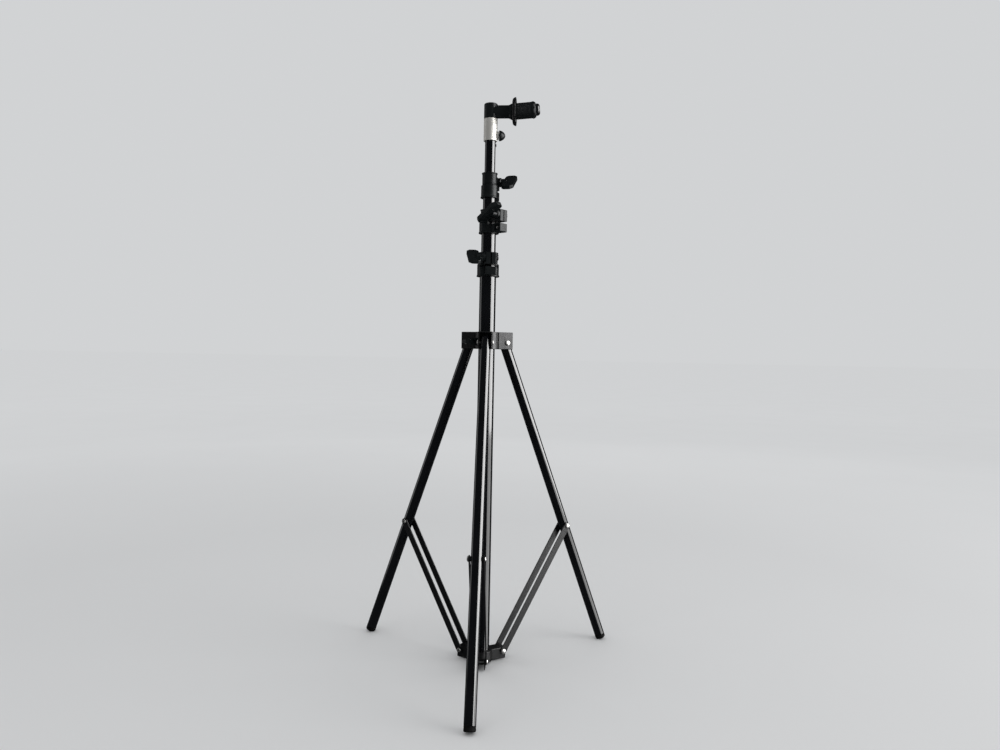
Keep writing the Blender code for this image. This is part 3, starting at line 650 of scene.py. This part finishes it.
def clamp_bolt(node, seat):
    """Bolt through both upper ears, with a socket in its head."""
    head = 0.0048
    socket = 0.0024
    far = -(EAR_HALF + GAP)
    end = far - 0.0034
    tip = EAR_HALF + GAP + 0.0055
    points = [(0.0, tip), (BOLT_R, tip), (BOLT_R, far), (head, far), (head, end + 0.0008),
              (head - 0.0010, end), (socket, end), (socket, end + 0.0016), (0.0, end + 0.0016)]
    done(turned(node, rounded(points, 0.0004), seat, STEEL, sides=48), node, STEEL)


def wing_knob(node, matrix, boss_r, hub_r, start, near, far, tip, thickness, bore):
    """Knob turned about local Z with a slant-ended wing, scooped on both faces."""
    deep = near - 0.0004
    points = [(0.0, near + 0.0060), (hub_r, near + 0.0060), (hub_r, start + 0.0046),
              (boss_r - 0.0005, start + 0.0042), (boss_r, start + 0.0036), (boss_r, start),
              (bore, start), (bore, deep), (0.0, deep)]
    made = turned(node, rounded(points, 0.0006), matrix, PLASTIC)
    corner = (far - near) * 0.25
    root = min(0.0080, tip * 0.5)
    half = [(root, start + 0.0044), (root, near), (tip - corner * 0.7, near + corner * 0.15),
            (tip, near + corner), (tip, far - corner), (tip - corner, far)]
    outline = half + [(-x, y) for x, y in reversed(half)]
    wing = tool(node + "wing", flat_mesh(node + "wing", [outline], thickness), matrix @ OUTWARD)
    bevel(wing, 0.0008, 3, 30.0)
    boolean(made, wing, "UNION")
    grooves = []
    for face in (-1.0, 1.0):
        for side in (-1.0, 1.0):
            spot = (side * tip * 0.62, face * thickness / 2.0, near + corner * 2.1)
            grooves.append((spot, (tip * 0.46, 0.0010, corner * 1.5)))
    carve(made, node + "hollows", grooves, matrix, 0.0004, 2)
    done(made, node, PLASTIC)


# ------------------------------------------------------------ crown, spider

def casting(node, hub, bore, end, half, plate, pivot, deep, panel):
    """Hub with three channelled arms; a panel is sunk into both faces of each arm."""
    bottom, top = heights(node)
    blank = [(0.0, top), (hub, top), (hub, bottom), (0.0, bottom)]
    made = turned(node, rounded(blank, 0.0006), IDENTITY, SATIN)
    start = bore + 0.0010
    middle = (bottom + top) / 2.0
    for side in SIDES:
        centre = (0.0, -(start + end) / 2.0, middle)
        size = (2.0 * half, end - start, top - bottom)
        add_box(made, node + side, centre, size, spin(AZIMUTH[side]), 0.0009)
    below = bottom - 0.0020
    beyond = end + 0.0020
    channel_start = hub + 0.0006
    channel_centre = (0.0, -(channel_start + beyond) / 2.0, (top - plate + below) / 2.0)
    channel_size = (2.0 * (half - plate), beyond - channel_start, top - plate - below)
    near, far, low, high = panel
    panel_size = (2.0 * deep, far - near, high - low)
    channels = []
    panels = []
    holes = []
    for side in SIDES:
        turn = spin(AZIMUTH[side])
        channels.append((channel_centre, channel_size, turn))
        for edge in (-half, half):
            panels.append(((edge, -(near + far) / 2.0, (low + high) / 2.0), panel_size, turn))
        holes.append((turn @ shift(0.0, pivot.y, pivot.z) @ ALONG_X, HOLE, 0.040))
    carve(made, node + "channels", channels, IDENTITY)
    carve(made, node + "panels", panels, IDENTITY, 0.0001, 1)
    drill(made, node + "holes", holes, IDENTITY)
    drill(made, node + "bore", [(shift(0.0, 0.0, middle), bore, 0.060)], IDENTITY, FINE)
    return made


def crown():
    bottom, top = heights("crown")
    made = casting("crown", hub=0.0175, bore=0.0138, end=0.0400, half=0.0105, plate=0.0014,
                   pivot=joint_place("crown_swing"), deep=0.0004,
                   panel=(0.0190, 0.0262, bottom + 0.0022, top - 0.0068))
    thread_r = 0.0029
    seat = facing(joint_axis("crown_knob_turn")) @ shift(0.0, 0.0, joint_place("crown_knob_turn").z)
    drill(made, "lock_hole", [(seat @ shift(0.0, -0.0150, 0.0) @ OUTWARD, thread_r, 0.0200)], IDENTITY)
    done(made, "crown", SATIN)
    face = 0.0181
    wing_knob("crown_lock_knob", seat @ OUTWARD, boss_r=0.0058, hub_r=0.0050, start=face,
              near=0.0235, far=0.0385, tip=0.0100, thickness=0.0060, bore=thread_r)
    screw_r = thread_r - GAP
    start = 0.0141
    tip = face + 0.0045
    points = [(0.0, tip), (screw_r, tip), (screw_r, start), (0.0, start)]
    node = "crown_lock_screw"
    done(turned(node, rounded(points, 0.0004), seat @ OUTWARD, NICKEL, sides=SMALL), node, NICKEL)


def spider():
    bottom, top = heights("spider_hub")
    made = casting("spider_hub", hub=0.0165, bore=0.0128, end=0.0385, half=0.0089, plate=0.0018,
                   pivot=joint_place("leg_fold"), deep=0.0003,
                   panel=(0.0185, 0.0285, bottom + 0.0022, top - 0.0024))
    done(made, "spider_hub", SATIN)


def rivet(node, grip, matrix):
    """Rivet along X with a domed head and a rolled hollow tail; `grip` is half its length."""
    radius = 0.0042
    dome = 0.0024
    shank = 0.0020
    tail = 0.0032
    hollow = 0.0011
    head = [(radius * math.sin(math.radians(a)), grip + dome * math.cos(math.radians(a)))
            for a in range(0, 90, 8)]
    rest = [(radius, grip), (shank, grip), (shank, -grip), (tail, -grip), (tail, -grip - 0.0007),
            (tail - 0.0006, -grip - 0.0014), (0.0018, -grip - 0.0014), (0.0012, -grip - 0.0006),
            (hollow, -grip + 0.0006), (0.0, -grip + 0.0006)]
    points = head + rounded([head[-1]] + rest, 0.0003)[1:]
    points[0] = (0.0, grip + dome)
    done(turned(node, points, matrix @ ASIDE, NICKEL, sides=48), node, NICKEL)


# ---------------------------------------------------------------- legs, bars

def legs():
    """Three legs with their rivets and bars, set from the front leg's joints."""
    crown_pivot = joint_place("crown_swing")
    spider_pivot = joint_place("leg_fold")
    knee = joint_place("leg_swing_front")
    upper = Vector((0.0, crown_pivot.y - knee.y, crown_pivot.z - knee.z))
    leaning = math.atan2(upper.y, upper.z)
    bar = Vector((0.0, spider_pivot.y - knee.y, knee.z - spider_pivot.z))
    bar_lean = math.atan2(bar.y, bar.z)
    for side in SIDES:
        turn = spin(AZIMUTH[side])
        seat = turn @ shift(0.0, knee.y, knee.z) @ lean(-leaning)
        leg(side, seat, upper.length, leaning, knee.z)
        rivet("brace_rivet_" + side, 0.0111, seat)
        rivet("crown_rivet_" + side, 0.0108, turn @ shift(0.0, crown_pivot.y, crown_pivot.z))
        rivet("spider_rivet_" + side, 0.0111, turn @ shift(0.0, spider_pivot.y, spider_pivot.z))
        brace(side, turn @ shift(0.0, spider_pivot.y, spider_pivot.z) @ lean(bar_lean), bar.length)


def leg(side, seat, upper, leaning, knee_z):
    """Leg tube, foot cap and knee bush, along local Z from the knee."""
    cad_r = 0.0082
    bend_r = 0.0010
    end_z = (cad_r - bend_r) * math.sin(leaning) + bend_r * (1.0 - math.cos(leaning))
    low = -(knee_z - end_z) / math.cos(leaning)
    cap_top = low + 0.0070
    tube_r = 0.0080
    tube = ring(tube_r - WALL, tube_r, cap_top + GAP, upper + 0.0080)
    node = "leg_tube_" + side
    made = turned(node, rounded(tube, 0.0003, True), seat, PAINT, True)
    holes = [(ALONG_X, BUSH_R + GAP, 0.030), (shift(0.0, 0.0, upper) @ ALONG_X, PLAY_R, 0.030)]
    drill(made, node + "holes", holes, seat)
    done(made, node, PAINT)
    foot_cap("foot_cap_" + side, seat, low, cap_top, cad_r - 0.00016, bend_r)
    node = "leg_bush_" + side
    reach = 0.0089
    bush = rounded(ring(HOLE, BUSH_R, -reach, reach), 0.0003, True)
    done(turned(node, bush, seat @ ALONG_X, PLASTIC, True), node, PLASTIC)


def foot_cap(node, seat, low, top, radius, bend_r):
    """Cap with a plug inside the tube, one groove round it and a ring under it.

    Its radius is a touch under the CAD cap's, so that the rounder foot keeps inside the part.
    """
    plug = 0.0067
    plug_top = top + 0.0120
    groove = radius - 0.0003
    points = [(0.0, plug_top), (plug, plug_top), (plug, top), (radius, top), (radius, top - 0.0016),
              (groove, top - 0.0019), (groove, top - 0.0024), (radius, top - 0.0027)]
    bend = []
    for a in range(0, 91, 15):
        turn = math.radians(a)
        bend.append((radius - bend_r + bend_r * math.cos(turn), low + bend_r - bend_r * math.sin(turn)))
    tread = [(0.0056, low), (0.0054, low + 0.0006), (0.0044, low + 0.0006), (0.0042, low), (0.0, low)]
    done(turned(node, rounded(points, 0.0002) + bend + tread, seat, RUBBER), node, RUBBER)


def brace(side, seat, length):
    """Two flat bars with round ends, one on each side of the leg."""
    radius = 0.0050
    thick = 0.0016
    inner = 0.0092
    hole = HOLE + 0.0001
    outline = []
    for centre, first in ((length, 0.0), (0.0, 180.0)):
        for i in range(25):
            angle = math.radians(first + 180.0 * i / 24.0)
            outline.append((radius * math.cos(angle), centre + radius * math.sin(angle)))
    stand_up = Matrix.Rotation(math.radians(90.0), 4, "Z") @ Matrix.Rotation(math.radians(90.0), 4, "X")
    for label, sign in (("a", -1.0), ("b", 1.0)):
        node = "brace_bar_" + side + "_" + label
        mesh = flat_mesh(node, [outline, circle(hole), circle(hole, length)], thick)
        made = piece(node, mesh, seat @ shift(sign * (inner + thick / 2.0), 0.0, 0.0) @ stand_up, SATIN)
        bevel(made, 0.00035, 3, 30.0)
        done(made, node, SATIN)


# --------------------------------------------------------------------- head

SLEEVE_R = 0.0103


def head():
    """Everything above the top tube, turned to the knob's and the arm's directions."""
    low, high = heights("head_sleeve")
    knob_z = joint_place("sleeve_knob_turn").z
    side = facing(joint_axis("sleeve_knob_turn"))
    sleeve(low, high, side, knob_z)
    sleeve_knob(side @ shift(0.0, 0.0, knob_z) @ OUTWARD)
    top_rivet(side)
    slide_axis = joint_axis("barrel_slide")
    slide_pivot = joint_place("barrel_slide")
    turn = facing(slide_axis)
    elbow(turn, high + GAP, heights("head_elbow")[1], slide_pivot.z)
    claw(turn @ shift(0.0, 0.0, slide_pivot.z) @ OUTWARD)
    offset = math.hypot(slide_pivot.x, slide_pivot.y)
    tilt = math.asin(slide_axis.z)
    base = turn @ shift(0.0, -offset, slide_pivot.z) @ lean(-tilt) @ shift(0.0, offset, 0.0)
    rod_end = 0.0664
    button_r = 0.0088
    rod_and_button(base @ OUTWARD, rod_end, button_r)
    barrel(base @ OUTWARD, button_r + 0.0006)
    spring(base @ OUTWARD, rod_end)


def sleeve(low, high, side, knob_z):
    """Plain tube with a threaded boss for the thumb knob."""
    node = "head_sleeve"
    tube = ring(0.0085, SLEEVE_R, low, high)
    made = turned(node, rounded(tube, 0.0005, True), side, ALUMINIUM, True, FINER)
    rod = (shift(0.0, -0.0108, knob_z) @ OUTWARD, 0.0062, 0.0036)
    boss = tool("boss", rod_mesh("boss", [rod], FINE), side)
    bevel(boss, 0.0004)
    boolean(made, boss, "UNION")
    drill(made, "boss_hole", [(shift(0.0, -0.0120, knob_z) @ OUTWARD, 0.0026, 0.0120)], side)
    done(made, node, ALUMINIUM)


def sleeve_knob(seat):
    """Fluted thumb knob with a low cone for a face, and the screw that it turns."""
    node = "sleeve_knob"
    face = 0.0129
    tip = face + 0.0046
    knob_r = 0.0078
    bore = 0.0026
    slope = [(0.0, face + 0.0096), (knob_r * 0.32, face + 0.0091), (knob_r * 0.66, face + 0.0070),
             (knob_r * 0.92, face + 0.0038)]
    back = [(knob_r, face + 0.0016), (knob_r, face), (bore, face), (bore, tip + GAP), (0.0, tip + GAP)]
    made = turned(node, rounded(slope + back, 0.0006, count=4), seat, PLASTIC)
    flute_r = 0.0010
    around = knob_r + 0.0007
    count = 18
    flutes = []
    for i in range(count):
        angle = math.tau * i / count
        flutes.append((shift(around * math.cos(angle), around * math.sin(angle), face), flute_r, 0.0084))
    drill(made, "flutes", flutes, seat, 20)
    done(made, node, PLASTIC)
    node = "sleeve_screw"
    screw_r = bore - GAP
    stem = [(0.0, tip), (screw_r, tip), (screw_r, 0.0084), (0.0, 0.0084)]
    done(turned(node, rounded(stem, 0.0003), seat, NICKEL, sides=SMALL), node, NICKEL)


def top_rivet(side):
    """Small painted rivet in the top tube, below the sleeve."""
    node = "column_top_rivet"
    low, high = heights(node)
    seat = side @ shift(0.0, 0.0, (low + high) / 2.0) @ OUTWARD
    radius = 0.0024
    start = 0.0083
    dome = [(radius * math.sin(math.radians(a)), start + 0.0003 + 0.0009 * math.cos(math.radians(a)))
            for a in range(0, 91, 15)]
    points = dome + [(radius, start), (0.0014, start), (0.0014, 0.0064), (0.0, 0.0064)]
    points[0] = (0.0, start + 0.0012)
    done(turned(node, points, seat, PAINT, sides=SMALL), node, PAINT)


def elbow(turn, low, top, arm_z):
    """Upright cap with a plug in the sleeve, and a flared neck to the side."""
    node = "head_elbow"
    edge = 0.0010
    plug = 0.0080
    points = [(0.0, top), (SLEEVE_R - edge, top), (SLEEVE_R, top - edge), (SLEEVE_R, low), (plug, low),
              (plug, low - 0.0022), (0.0, low - 0.0022)]
    made = turned(node, rounded(points, 0.0005), turn, PLASTIC)
    neck_r = 0.0096
    flare_r = 0.0118
    end = 0.0325
    neck = [(0.0, end), (flare_r, end), (flare_r, end - 0.0012), (neck_r, 0.0275), (neck_r, 0.0020),
            (0.0, 0.0020)]
    place = turn @ shift(0.0, 0.0, arm_z - 0.0001) @ OUTWARD
    stub = tool("neck", profile_mesh("neck", rounded(neck, 0.0006), False), place)
    add_screw(stub, FINE)
    boolean(made, stub, "UNION")
    drill(made, "neck_bore", [(shift(0.0, -0.0300, arm_z) @ OUTWARD, 0.0042, 0.0120)], turn)
    bevel(made, 0.0004, 3, 40.0)
    done(made, node, PLASTIC)


def claw(seat):
    """Round plate with its rim bent towards the barrel."""
    node = "head_claw_plate"
    near = 0.0331
    far = 0.0346
    rim = far + 0.0036
    points = [(0.0210, rim), (0.0204, far + 0.0014), (0.0186, near + 0.0003), (0.0150, near), (0.0046, near),
              (0.0046, far), (0.0150, far), (0.0180, far + 0.0005), (0.0198, rim)]
    done(turned(node, rounded(points, 0.0010, True), seat, SATIN, True, FINER), node, SATIN)


ROD_R = 0.0030
BARREL_NEAR = 0.0364
BARREL_FAR = 0.0682
BARREL_WALL = BARREL_NEAR + 0.0040       # where the spring's cavity starts


def rod_and_button(seat, rod_end, button_r):
    node = "head_rod"
    rod_start = 0.0250
    stem = [(0.0, rod_end), (ROD_R, rod_end), (ROD_R, rod_start), (0.0, rod_start)]
    done(turned(node, rounded(stem, 0.0003), seat, NICKEL, sides=SMALL), node, NICKEL)
    node = "head_button"
    bend_r = 0.0040
    face = rod_end + GAP
    top = face + 0.0075
    dome = []
    for a in range(0, 91, 9):
        bend = math.radians(90 - a)
        dome.append((button_r - bend_r + bend_r * math.cos(bend), top - bend_r + bend_r * math.sin(bend)))
    points = [(0.0, top - 0.0005), (0.0030, top - 0.0005), (0.0036, top)] + dome
    points += [(button_r, face + 0.0006), (button_r - 0.0006, face), (0.0, face)]
    done(turned(node, points, seat, SMOOTH), node, SMOOTH)


def barrel(seat, cavity):
    """Sliding barrel with fine ribs, a notched rim and a cavity for the spring."""
    node = "head_barrel"
    outer = 0.0124
    body = outer - 0.0005
    valley = outer - 0.0007
    bore = ROD_R + GAP
    near = BARREL_NEAR
    far = BARREL_FAR
    rim = [(outer - 0.0021, far), (outer, far - 0.0030), (outer, far - 0.0056),
           (outer - 0.0006, far - 0.0062)]
    count = 11
    start = far - 0.0074
    pitch = (start - near - 0.0028) / count
    ribs = []
    for i in range(count):
        z = start - i * pitch
        ribs += [(body, z), (body, z - pitch * 0.70), (valley, z - pitch * 0.76), (valley, z - pitch * 0.94)]
    inside = [(body, near + 0.0016), (outer - 0.0014, near), (bore, near), (bore, BARREL_WALL),
              (cavity, BARREL_WALL), (cavity, far)]
    made = turned(node, rounded(rim + ribs + inside, 0.0003, True, 2), seat, GRIP, True, FINER)
    notch_count = 8
    notches = []
    for i in range(notch_count):
        turn = Matrix.Rotation(math.tau * i / notch_count, 4, "Z")
        notches.append(((outer + 0.0002, 0.0, far - 0.0008), (0.0022, 0.0034, 0.0060), turn))
    carve(made, "notches", notches, seat)
    done(made, node, GRIP)


def spring(seat, rod_end):
    """Coil between the barrel's inner wall and the rod's end."""
    node = "head_spring"
    coil = bpy.data.curves.new("coil", "CURVE")
    coil.dimensions = "3D"
    coil.bevel_depth = 0.0006
    coil.bevel_resolution = 3
    coil.use_fill_caps = True
    turns = 4
    steps = turns * 36
    radius = 0.0060
    line = coil.splines.new("POLY")
    line.points.add(steps)
    first = BARREL_WALL + 0.0010
    last = rod_end - 0.0008
    for i, spot in enumerate(line.points):
        angle = math.tau * turns * i / steps
        along = first + (last - first) * i / steps
        spot.co = (radius * math.cos(angle), radius * math.sin(angle), along, 1.0)
    made = done(piece(node, curve_mesh(node, coil), seat, NICKEL), node, NICKEL)
    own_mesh(made)


# --------------------------------------------------------- camera and lights

CAMERA_DISTANCE = 1.1648
CAMERA_HEIGHT = 0.4811
CAMERA_AZIMUTH = math.radians(3.13)
CAMERA_YAW = math.radians(-0.975)
CAMERA_PITCH = math.radians(1.84)
CAMERA_ROLL = math.radians(1.10)
FOCAL_WIDTHS = 0.76165                   # focal length in image widths
SENSOR = 36.0
WALL_LEVEL = 0.66                        # brightness of the surround
DIM_LEVEL = 0.035                        # and what glossy pieces see of it
WINDOW_AZIMUTH = 80.0
WINDOW_DISTANCE = 2.3
WINDOW_WIDTH = 2.3
WINDOW_TALL = 3.1
SILL_TALL = 1.1
SILL_LEVEL = 0.10                        # height where the window starts and the dimmer sill ends
LAMPS = (("key", 75.0, 2.2, 1.5, (1.4, 1.6), 12.0),
         ("fill", -40.0, 2.6, 1.3, (1.4, 1.4), 4.0),
         ("back", 170.0, 2.4, 1.6, (1.4, 1.4), 2.0))


def camera():
    data = bpy.data.cameras.new("camera")
    data.sensor_width = SENSOR
    data.lens = SENSOR * FOCAL_WIDTHS
    data.shift_x = 0.001
    data.clip_start = 0.02
    made = bpy.data.objects.new("camera", data)
    bpy.context.scene.collection.objects.link(made)
    turn = Matrix.Rotation(CAMERA_AZIMUTH, 4, "Z")
    aim = Matrix.Rotation(CAMERA_YAW, 4, "Z") @ Matrix.Rotation(math.radians(90.0) - CAMERA_PITCH, 4, "X")
    roll = Matrix.Rotation(CAMERA_ROLL, 4, "Z")
    made.matrix_world = turn @ shift(0.0, -CAMERA_DISTANCE, CAMERA_HEIGHT) @ aim @ roll
    bpy.context.scene.camera = made
    bpy.context.scene.view_settings.view_transform = "Standard"


def area(name, azimuth, distance, height, size, power, look_z=0.45):
    """Rectangular light, seen by no camera, that faces the column at one height."""
    data = bpy.data.lights.new(name, "AREA")
    data.shape = "RECTANGLE"
    data.size = size[0]
    data.size_y = size[1]
    data.energy = power
    made = bpy.data.objects.new(name, data)
    bpy.context.scene.collection.objects.link(made)
    angle = math.radians(azimuth)
    spot = Vector((math.sin(angle) * distance, -math.cos(angle) * distance, height))
    made.location = spot
    made.rotation_mode = "QUATERNION"
    made.rotation_quaternion = (Vector((0.0, 0.0, look_z)) - spot).to_track_quat("-Z", "Y")
    made.visible_camera = False
    return made


def surround():
    """Pale to the camera and for soft light, dim in reflections, like a studio hung with black."""
    world = bpy.data.worlds.new("studio")
    bpy.context.scene.world = world
    world.use_nodes = True
    tree = world.node_tree
    pale = tree.nodes["Background"]
    pale.inputs["Color"].default_value = (0.97, 0.985, 1.0, 1.0)
    pale.inputs["Strength"].default_value = WALL_LEVEL
    dim = tree.nodes.new("ShaderNodeBackground")
    dim.inputs["Color"].default_value = (0.90, 0.96, 1.0, 1.0)
    dim.inputs["Strength"].default_value = DIM_LEVEL
    ray = tree.nodes.new("ShaderNodeLightPath")
    pick = tree.nodes.new("ShaderNodeMixShader")
    tree.links.new(ray.outputs["Is Glossy Ray"], pick.inputs["Fac"])
    tree.links.new(pale.outputs["Background"], pick.inputs[1])
    tree.links.new(dim.outputs["Background"], pick.inputs[2])
    tree.links.new(pick.outputs["Shader"], tree.nodes["World Output"].inputs["Surface"])


def studio():
    """Tall window with a dim sill for the reflections, and soft lamps for the rest."""
    surround()
    window_z = SILL_LEVEL + WINDOW_TALL / 2.0
    sill_z = SILL_LEVEL - SILL_TALL / 2.0
    panes = [area("window", WINDOW_AZIMUTH, WINDOW_DISTANCE, window_z, (WINDOW_WIDTH, WINDOW_TALL), 188.0,
                  look_z=window_z),
             area("sill", WINDOW_AZIMUTH, WINDOW_DISTANCE, sill_z, (WINDOW_WIDTH, SILL_TALL), 22.0,
                  look_z=sill_z),
             area("left_card", -105.0, 2.2, 0.9, (1.0, 2.4), 5.0)]
    for pane in panes:
        pane.visible_diffuse = False
    for lamp in LAMPS:
        area(*lamp).visible_glossy = False


def floor_look():
    """Matt and pale, with painted shade near the stand, where the lamps light it most, and painted light
    further out, where less light falls, so that it meets the surround evenly.
    """
    look = Shader("pale_floor", (0.80, 0.80, 0.80), 0.8, specular=0.0)
    away = look.tree.nodes.new("ShaderNodeVectorMath")
    away.operation = "LENGTH"
    look.link(look.place, away.inputs[0])
    spread = look.times(away.outputs["Value"], 0.1)
    # painted light and shade: the floor's colour is darker near the stand, where the lamps light it most, and
    # lighter further out, where less light falls
    painted_light_ramp = look.ramp(spread, [(0.10, (0.80, 0.80, 0.80)), (0.28, (0.95, 0.95, 0.95)),
                              (0.55, (0.99, 0.99, 0.99))])
    stain = look.ramp(look.noise(3.0, 3.0), [(0.3, 0.0), (0.7, 0.06)])
    look.colour(look.mix(stain, painted_light_ramp, (0.74, 0.74, 0.735)))
    return look.material


def floor():
    mesh = bpy.data.meshes.new("floor")
    reach = 40.0
    level = cad_box[0].z - 0.0002
    corners = [(-reach, -reach, level), (reach, -reach, level), (reach, reach, level), (-reach, reach, level)]
    mesh.from_pydata(corners, [], [(0, 1, 2, 3)])
    mesh.materials.append(floor_look())
    made = bpy.data.objects.new("floor", mesh)
    bpy.context.scene.collection.objects.link(made)
    made.visible_glossy = False


camera()
studio()
floor()
column_tubes()
plain_nodes()
end_cap()
for label, sizes in COLLARS.items():
    collar(label, *sizes)
crown()
spider()
legs()
head()
for cutter in list(TOOLS.objects):
    bpy.data.objects.remove(cutter, do_unlink=True)
